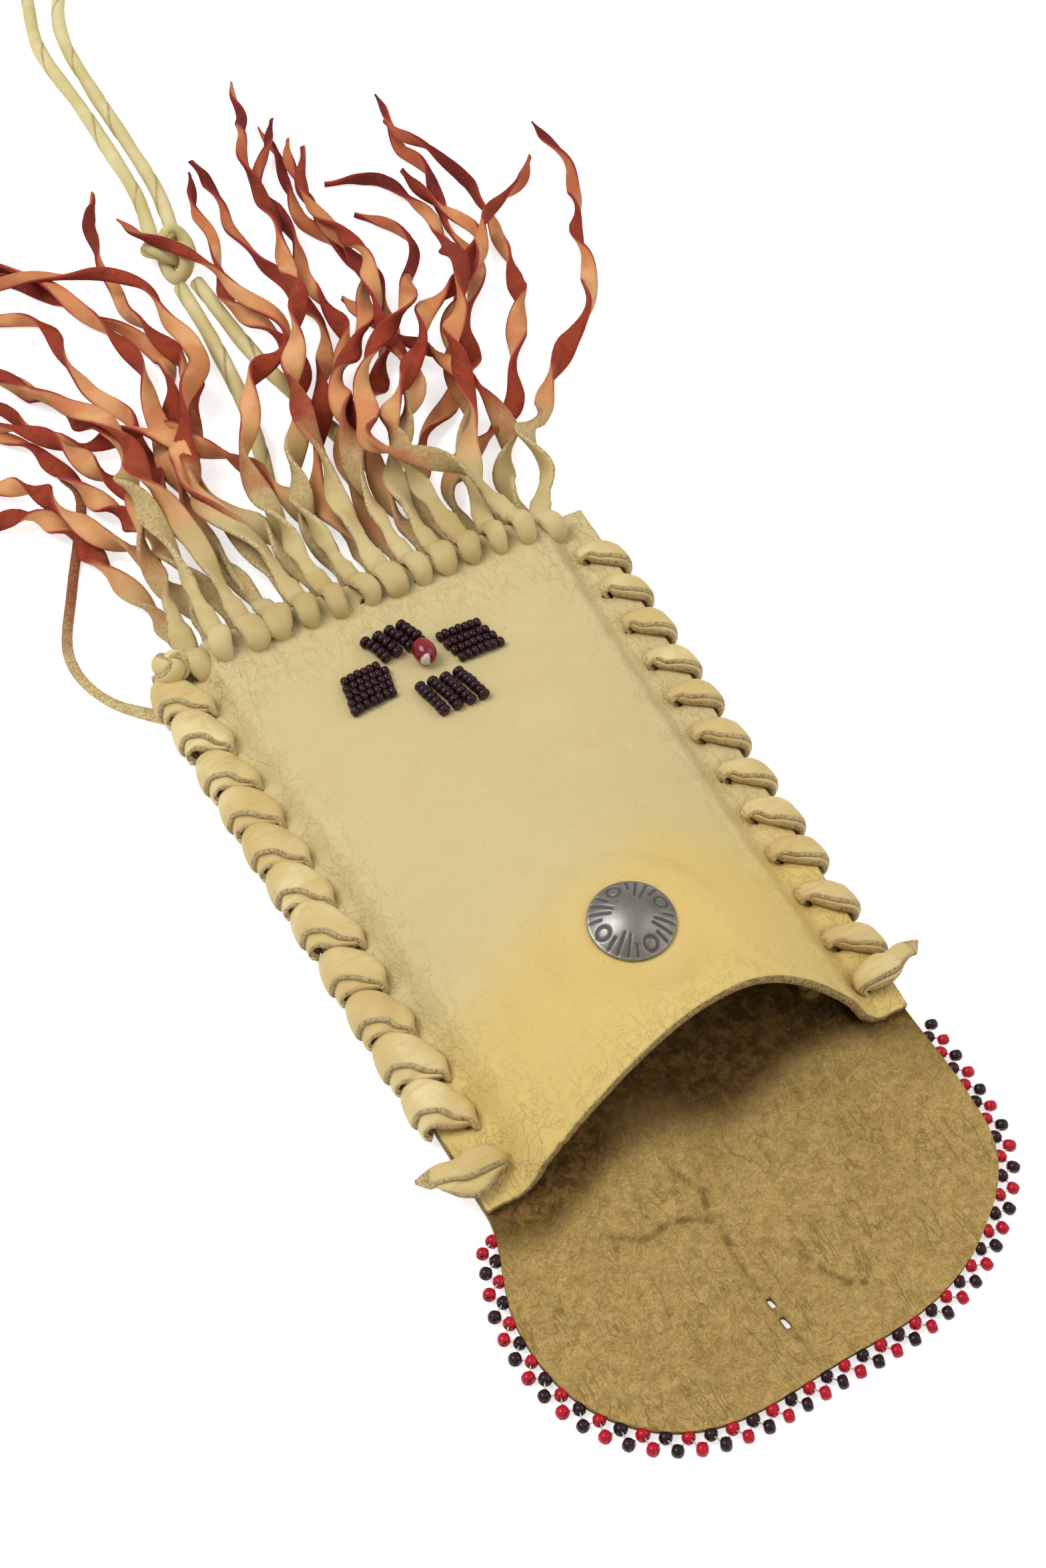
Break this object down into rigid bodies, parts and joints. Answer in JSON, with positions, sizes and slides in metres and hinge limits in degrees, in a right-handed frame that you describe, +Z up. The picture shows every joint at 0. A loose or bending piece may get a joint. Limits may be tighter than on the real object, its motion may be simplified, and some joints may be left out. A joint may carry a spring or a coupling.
{
  "type": "beaded fringe bag",
  "caption": "Small laced buckskin pouch with an open beaded flap, a bead rosette, a metal concho button, a thong neck strap and a long twisted fringe, lying flat.",
  "frame": {"origin": "middle of the base of the bag's own box, strap left out", "axes": "+Y from the flap towards the fringe, +X to the right with the beaded side up, +Z up from the ground"},
  "size_m": [0.234, 0.5488, 0.0341],
  "materials": {
    "buckskin": "matte, slightly fuzzy smoked hide",
    "lacing_buckskin": "matte with fuzzy cut edges",
    "strap_buckskin": "matte",
    "dyed_suede": "dyed suede, smooth on one side",
    "suede": "rough suede",
    "dark_glass_beads": "glossy",
    "red_glass_beads": "glossy",
    "silver_metal": "antiqued, soft shine"
  },
  "bodies": {
    "root": {"back_panel": "buckskin", "bead_edging": "red_glass_beads", "centre_bead": "red_glass_beads", "concho": "silver_metal", "concho_screw": "silver_metal", "corner_knot": "suede", "fringe_thong_01": "dyed_suede", "fringe_thong_02": "dyed_suede", "fringe_thong_03": "dyed_suede", "fringe_thong_04": "dyed_suede", "fringe_thong_05": "dyed_suede", "fringe_thong_06": "dyed_suede", "fringe_thong_07": "dyed_suede", "fringe_thong_08": "dyed_suede", "fringe_thong_09": "dyed_suede", "fringe_thong_10": "dyed_suede", "fringe_thong_11": "dyed_suede", "fringe_thong_12": "dyed_suede", "fringe_thong_13": "dyed_suede", "fringe_thong_14": "dyed_suede", "front_panel": "buckskin", "left_side_lace": "lacing_buckskin", "right_side_lace": "lacing_buckskin", "rosette_block_fringe_left": "dark_glass_beads", "rosette_block_fringe_right": "dark_glass_beads", "rosette_block_mouth_left": "dark_glass_beads", "rosette_block_mouth_right": "dark_glass_beads", "strap_knot": "strap_buckskin", "strap_left_strand": "strap_buckskin", "strap_loop": "strap_buckskin", "strap_right_strand": "strap_buckskin", "strap_stop_knot_left": "strap_buckskin", "strap_stop_knot_right": "strap_buckskin"}
  },
  "joints": []
}
